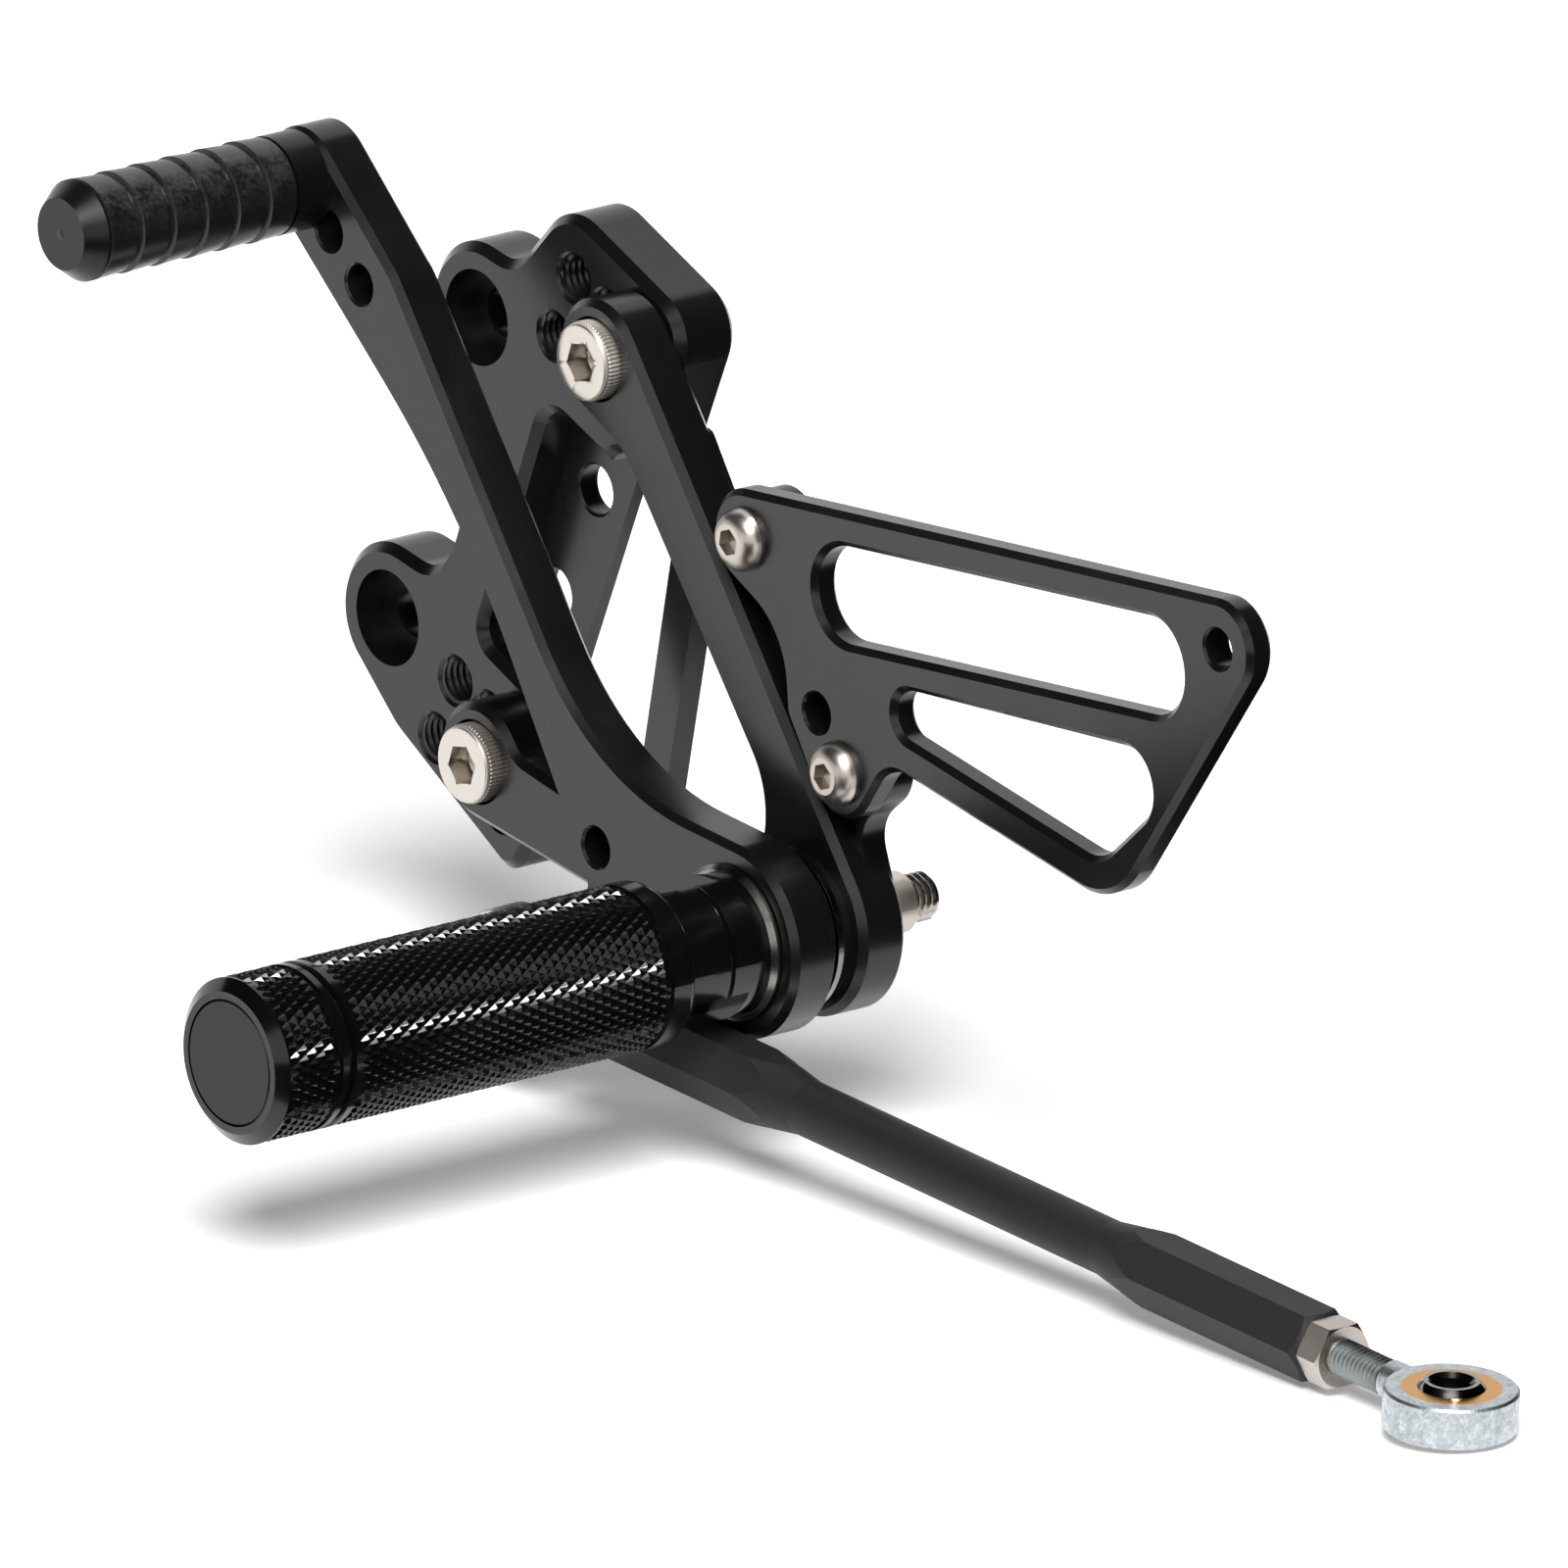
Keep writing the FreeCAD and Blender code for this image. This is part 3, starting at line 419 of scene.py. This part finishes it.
# Gear lever.
# Milled from 9 mm plate with a curved arm, anodised as the plates; a bronze bush is pressed
# into its hub.
dress("shift_lever", black_anodised)
# Bronze, turned: warm brown metal with a soft shine.
dress("lever_bush", metal_finish("bronze_turned", "#9a7040", 0.3))


# Pivot stack.
# Bright turned washers on both sides of the lever, a black spacer against the bracket and a
# steel sleeve through them all.
dress("pivot_spacer", black_anodised)
# Steel, turned and polished: grey metal with sharp reflections.
bright_washer = metal_finish("washer_steel_polished", "#8a8783", 0.2, 0.04)
dress("outer_washer", bright_washer)
dress("inner_washer", bright_washer)
# Steel, turned and left so: pale and satin.
dress("pivot_sleeve", metal_finish("sleeve_steel_turned", "#d8d2c8", 0.42))


# Foot peg.
# Turned from 27 mm bar: two knurled lengths with a groove between them, a rounded shoulder and
# a neck with wrench flats; a disc closes the far end and an M8 screw holds it on the bracket.
knurl_crest = 13.48
knurl_root = 13.03
half_steps = 98
point_flat = 0.2


def turned_black(name, colour, roughness, ior=1.5):
    """Dyed oxide skin over the rings of the lathe."""
    material, tree = new_finish(name)
    place = add(tree, "ShaderNodeTexCoord").outputs["Object"]
    # The lathe's real feed is about 0.1 mm a turn; its rings are drawn 0.25 mm apart to show.
    stretch = add(tree, "ShaderNodeMapping", Vector=place,
                  Scale=(0.02 * per_mm, per_mm / 0.25, 0.02 * per_mm))
    rings = add(tree, "ShaderNodeTexNoise", Vector=stretch.outputs[0], Scale=1.0, Detail=2.0)
    relief = add(tree, "ShaderNodeBump", Strength=0.05, Distance=0.00002, Height=rings.outputs["Fac"])
    rough = patchy_roughness(tree, place, 0.09, 3.0, roughness - 0.03, roughness + 0.04)
    skin = add(tree, "ShaderNodeBsdfPrincipled", Base_Color=linear(colour), Metallic=0.0, IOR=ior,
               Roughness=rough, Normal=relief.outputs[0])
    add(tree, "ShaderNodeOutputMaterial", Surface=skin.outputs[0])
    return material


def diamond_knurl(name, start, end, rows, material):
    """Sleeve of diamond points round the peg; a point stands where row + column is odd."""
    bm = bmesh.new()
    pitch = (end - start) / rows

    def point(row, column, radius):
        turn = 2 * math.pi * column / half_steps
        return bm.verts.new(round_own_axis(radius, start + pitch * row, turn))

    base = [[point(m, n, knurl_root) for n in range(half_steps)] for m in range(rows + 1)]
    for m in range(1, rows):
        for n in range(half_steps):
            if (m + n) % 2 == 0:
                continue
            around = [base[m - 1][n], base[m][(n + 1) % half_steps], base[m + 1][n], base[m][n - 1]]
            top = [point(m - point_flat, n, knurl_crest), point(m, n + point_flat, knurl_crest),
                   point(m + point_flat, n, knurl_crest), point(m, n - point_flat, knurl_crest)]
            bm.faces.new(top)
            for i in range(4):
                bm.faces.new((around[i], around[(i + 1) % 4], top[(i + 1) % 4], top[i]))
            bm.verts.remove(base[m][n])
    for m, inner in [(0, 1), (rows, rows - 1)]:
        for n in range(half_steps):
            if (m + n) % 2 == 1:
                bm.faces.new((base[m][n - 1], base[m][n], base[inner][n]))
                bm.faces.new((base[m][n], base[m][(n + 1) % half_steps], base[inner][n]))
    bmesh.ops.recalc_face_normals(bm, faces=bm.faces)
    mesh = bpy.data.meshes.new(name)
    bm.to_mesh(mesh)
    bm.free()
    piece = new_object(name, mesh, material)
    piece.matrix_world = from_pivot(0, 0, 0)
    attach(piece, "frame_side")
    return piece


# Black anodised aluminium, turned: smoother and shinier than the milled plates, with the
# lathe's rings around it.
dress("footpeg_barrel", turned_black("black_anodised_aluminium_turned", "#070708", 0.16))
# Black anodised knurling: the same skin on pressed points, each with a small bright top.
knurl_black = anodised_finish("black_anodised_knurling", "#070708", 0.15, 0.4, 0.02, 1.4)
diamond_knurl("knurling_inner", -90.7, -27.4, 39, knurl_black)
diamond_knurl("knurling_outer", -105.0, -94.7, 6, knurl_black)
# Black anodised disc: faced and left duller than the bar.
dress("footpeg_end_cap", turned_black("black_anodised_end_cap", "#080809", 0.34, 1.4))
# Stainless steel, turned: bright metal with a fine grain.
stainless = metal_finish("stainless_steel_turned", "#c9c3bb", 0.2)
dress("footpeg_bolt", stainless)
swept("footpeg_bolt_thread", thread_rings(29.6, 35.0, 3.42, 3.98, m8_pitch), 48, from_pivot(0, 0, 0),
      stainless, "frame_side", thread_edge)


# Toe peg.
# Turned aluminium spindle with collar and nose, and a ribbed rubber sleeve; a button head
# screw holds it from behind the lever.
dress("toe_peg_screw", button_steel)
# Black anodised aluminium, turned: satin, a little duller than the foot peg.
dress("toe_peg_core", turned_black("toe_peg_aluminium_black", "#09090a", 0.3, 1.4))
# Rubber, moulded: matt black with real scuffs, each under a millimetre long, greyed only where the surface
# faces up as a painted sheen.
rubber, tree = new_finish("toe_peg_rubber_moulded")
place = add(tree, "ShaderNodeTexCoord")
scuff = add(tree, "ShaderNodeTexNoise", Vector=place.outputs["Object"], Scale=1.5 * per_mm, Detail=5.0)
patch = add(tree, "ShaderNodeTexNoise", Vector=place.outputs["Object"], Scale=0.26 * per_mm, Detail=4.0)
painted_sheen_normal = add(tree, "ShaderNodeSeparateXYZ", Vector=place.outputs["Normal"])
# Painted sheen: the scuffs turn grey only on faces turned up towards the light above.
top = add(tree, "ShaderNodeMapRange", Value=painted_sheen_normal.outputs["Z"], From_Min=-0.1, From_Max=0.95)
worn = add(tree, "ShaderNodeMath", {"operation": "MULTIPLY"}, _0=scuff.outputs["Fac"],
           _1=patch.outputs["Fac"])
tone = add(tree, "ShaderNodeMapRange", Value=worn.outputs[0], From_Min=0.17, From_Max=0.36)
tone = add(tree, "ShaderNodeMath", {"operation": "MULTIPLY"}, _0=tone.outputs[0], _1=top.outputs[0])
colour = add(tree, "ShaderNodeMix", {"data_type": "RGBA"}, _0=tone.outputs[0], _6=linear("#111010"),
             _7=linear("#363432"))
rough = add(tree, "ShaderNodeMapRange", Value=tone.outputs[0], To_Min=0.28, To_Max=0.42)
bump = add(tree, "ShaderNodeBump", Strength=0.2, Distance=0.0001, Height=scuff.outputs["Fac"])
skin = add(tree, "ShaderNodeBsdfPrincipled", Base_Color=colour.outputs[2], IOR=1.5,
           Roughness=rough.outputs[0], Normal=bump.outputs[0])
add(tree, "ShaderNodeOutputMaterial", Surface=skin.outputs[0])
dress("toe_peg_rubber", rubber)


# Link rod.
# Hexagon bar turned round in the middle and tapped at both ends. It is anodised matt black,
# which looks duller than the plates and keeps the drawn bar's grain.
dress("link_rod", anodised_finish("black_anodised_bar_matt", "#1b1b1b", 0.55, 0.5, 0.12, 1.35))


# Rod ends.
# M6 spherical rod ends: zinc plated forged eye with a rolled thread, brass race and a hardened
# ball, locked in the rod by a zinc plated jam nut.
near_eye_x, near_eye_z = -47.3, -15.2
far_eye_x, far_eye_z = 184.4, -31.1
link_y = -10.3
link_drop = math.atan2(near_eye_z - far_eye_z, far_eye_x - near_eye_x)
# Zinc plate on a forging: pale blue-grey metal, grained like the forged skin under it.
zinc, tree = new_finish("zinc_plated_forging")
place = add(tree, "ShaderNodeTexCoord")
grain = add(tree, "ShaderNodeTexNoise", Vector=place.outputs["Object"], Scale=2.2 * per_mm, Detail=4.0)
patch = add(tree, "ShaderNodeTexNoise", Vector=place.outputs["Object"], Scale=0.7 * per_mm, Detail=3.0)
worn = add(tree, "ShaderNodeMath", {"operation": "MULTIPLY"}, _0=grain.outputs["Fac"],
           _1=patch.outputs["Fac"])
tone = add(tree, "ShaderNodeMapRange", Value=worn.outputs[0], From_Min=0.12, From_Max=0.4)
colour = add(tree, "ShaderNodeMix", {"data_type": "RGBA"}, _0=tone.outputs[0], _6=linear("#9fa5a8"),
             _7=linear("#cad0d2"))
rough = add(tree, "ShaderNodeMapRange", Value=tone.outputs[0], To_Min=0.42, To_Max=0.26)
bump = add(tree, "ShaderNodeBump", Strength=0.5, Distance=0.00015, Height=worn.outputs[0])
skin = add(tree, "ShaderNodeBsdfPrincipled", Base_Color=colour.outputs[2], Metallic=1.0,
           Roughness=rough.outputs[0], Normal=bump.outputs[0])
add(tree, "ShaderNodeOutputMaterial", Surface=skin.outputs[0])
# Brass, turned: warm yellow. Hardened steel, polished: grey, nearly a mirror. Zinc plated nut
# and thread: satin metal, warmer on the nut; the thread is bluer and painted darker, as painted shade in
# its grooves.
race_brass = metal_finish("brass_race_turned", "#c99651", 0.26)
ball_steel = metal_finish("hardened_steel_polished", "#8f8d89", 0.12, 0.03)
nut_zinc = metal_finish("zinc_plated_nut", "#b4ada5", 0.26)
thread_zinc_painted_shade = metal_finish("zinc_plated_thread_painted_shade", "#878d8c", 0.3)
for side in ("near", "far"):
    dress(side + "_rod_end", zinc)
    dress(side + "_race", race_brass)
    dress(side + "_ball", ball_steel)
    dress(side + "_jam_nut", nut_zinc)
far_eye = from_pivot(far_eye_x, link_y, far_eye_z) @ Matrix.Rotation(link_drop, 4, "Y")
# The thread takes the darker zinc colour, painted shade in its grooves.
swept("far_rod_end_thread", thread_rings(14.9, 26.1, 2.47, 2.98, 1.0), 36,
      far_eye @ Matrix.Rotation(math.radians(90), 4, "Z"), thread_zinc_painted_shade, "link", thread_edge)


# Link screw and nut.
# M6 button head screw and nut that clamp the near ball to the lever's tail, in the same
# stainless steel as the foot peg's screw.
dress("link_bolt", stainless)
dress("link_nut", stainless)
